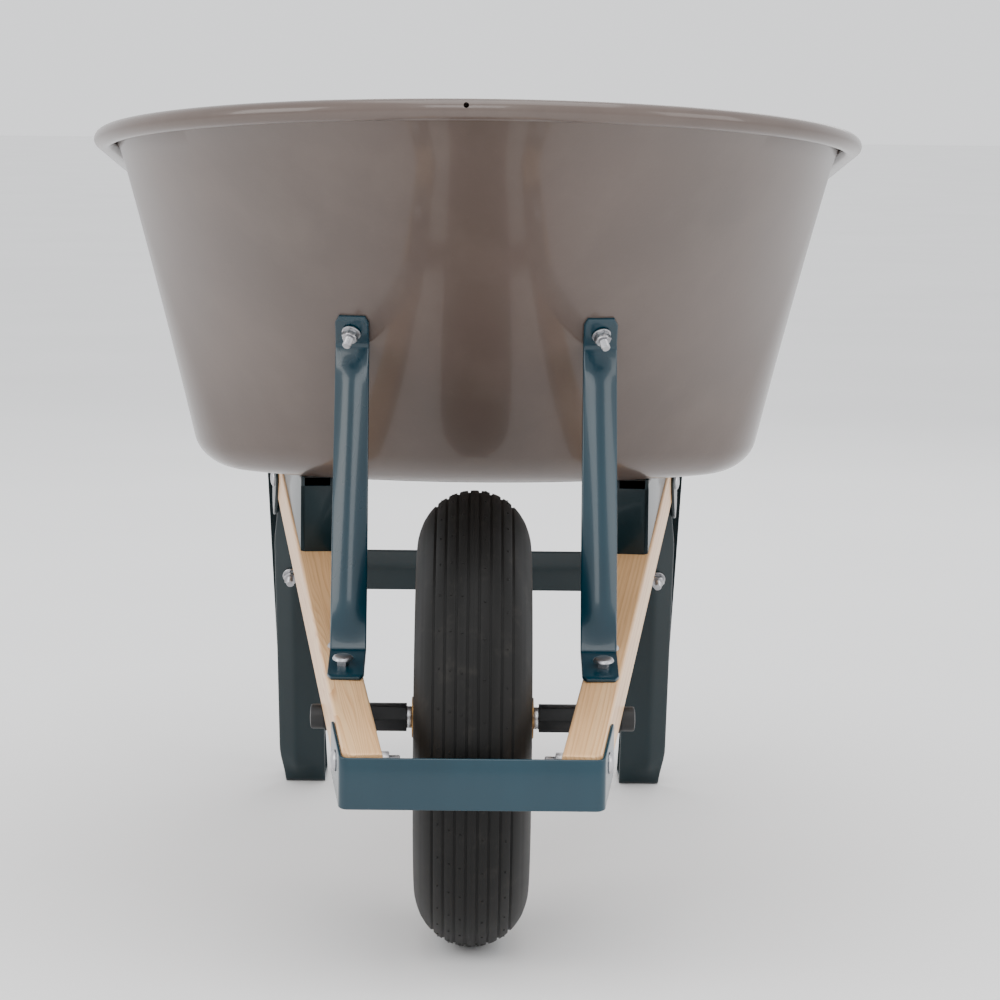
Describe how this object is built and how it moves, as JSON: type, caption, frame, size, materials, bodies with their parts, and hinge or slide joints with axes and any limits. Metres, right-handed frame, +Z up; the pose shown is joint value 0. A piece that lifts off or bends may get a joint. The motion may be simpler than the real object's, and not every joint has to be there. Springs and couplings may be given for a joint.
{
  "type": "wheelbarrow",
  "caption": "Contractor's wheelbarrow: steel tray with a rolled rim on wooden handles, painted steel legs, braces and guard, and a pneumatic wheel on a fixed axle.",
  "frame": {"origin": "on the ground, midway across and midway between the guard's nose and the grips' ends", "axes": "X along the axle with the user's right at +X, Y from the nose to the grips, Z up from the ground"},
  "size_m": [0.694, 1.4904, 0.7411],
  "materials": {
    "tray_enamel": "gloss",
    "teal_paint": "gloss",
    "rim_paint": "gloss",
    "ash_wood": "satin",
    "tyre_rubber": "matte",
    "tube_rubber": "matte",
    "black_plastic": "satin",
    "bush_bronze": "satin",
    "zinc_steel": "satin"
  },
  "bodies": {
    "root": {"axle": "zinc_steel", "axle_end_washers": "zinc_steel", "axle_spacers": "zinc_steel", "brace_top_bolts": "zinc_steel", "brace_top_nuts": "zinc_steel", "cross_brace_bolts": "zinc_steel", "cross_brace_nuts": "zinc_steel", "front_block_bolts": "zinc_steel", "front_block_nuts": "zinc_steel", "guard_bolts": "zinc_steel", "guard_nuts": "zinc_steel", "left_axle_block": "black_plastic", "left_front_brace": "teal_paint", "left_handle": "ash_wood", "left_leg": "teal_paint", "left_riser": "teal_paint", "leg_bolts": "zinc_steel", "leg_cross_brace": "teal_paint", "leg_nuts": "zinc_steel", "rear_block_bolts": "zinc_steel", "rear_block_nuts": "zinc_steel", "right_axle_block": "black_plastic", "right_front_brace": "teal_paint", "right_handle": "ash_wood", "right_leg": "teal_paint", "right_riser": "teal_paint", "split_pins": "zinc_steel", "tray": "tray_enamel", "tray_front_bolts": "zinc_steel", "tray_front_nuts": "zinc_steel", "tray_rear_bolts": "zinc_steel", "tray_rear_nuts": "zinc_steel", "wheel_guard": "teal_paint"},
    "wheel": {"tyre": "tyre_rubber", "inner_tube": "tube_rubber", "rim_left": "rim_paint", "rim_right": "rim_paint", "hub": "rim_paint", "bush_left": "bush_bronze", "bush_right": "bush_bronze", "valve_stem": "tube_rubber", "valve_cap": "black_plastic", "grease_fitting": "zinc_steel", "rim_bolts": "zinc_steel", "rim_nuts": "zinc_steel"}
  },
  "joints": [
    {"name": "wheel_spin", "type": "hinge", "parent": "root", "child": "wheel", "pos_m": [0, -0.51713, 0.2], "axis": [1, 0, 0], "continuous": true}
  ]
}
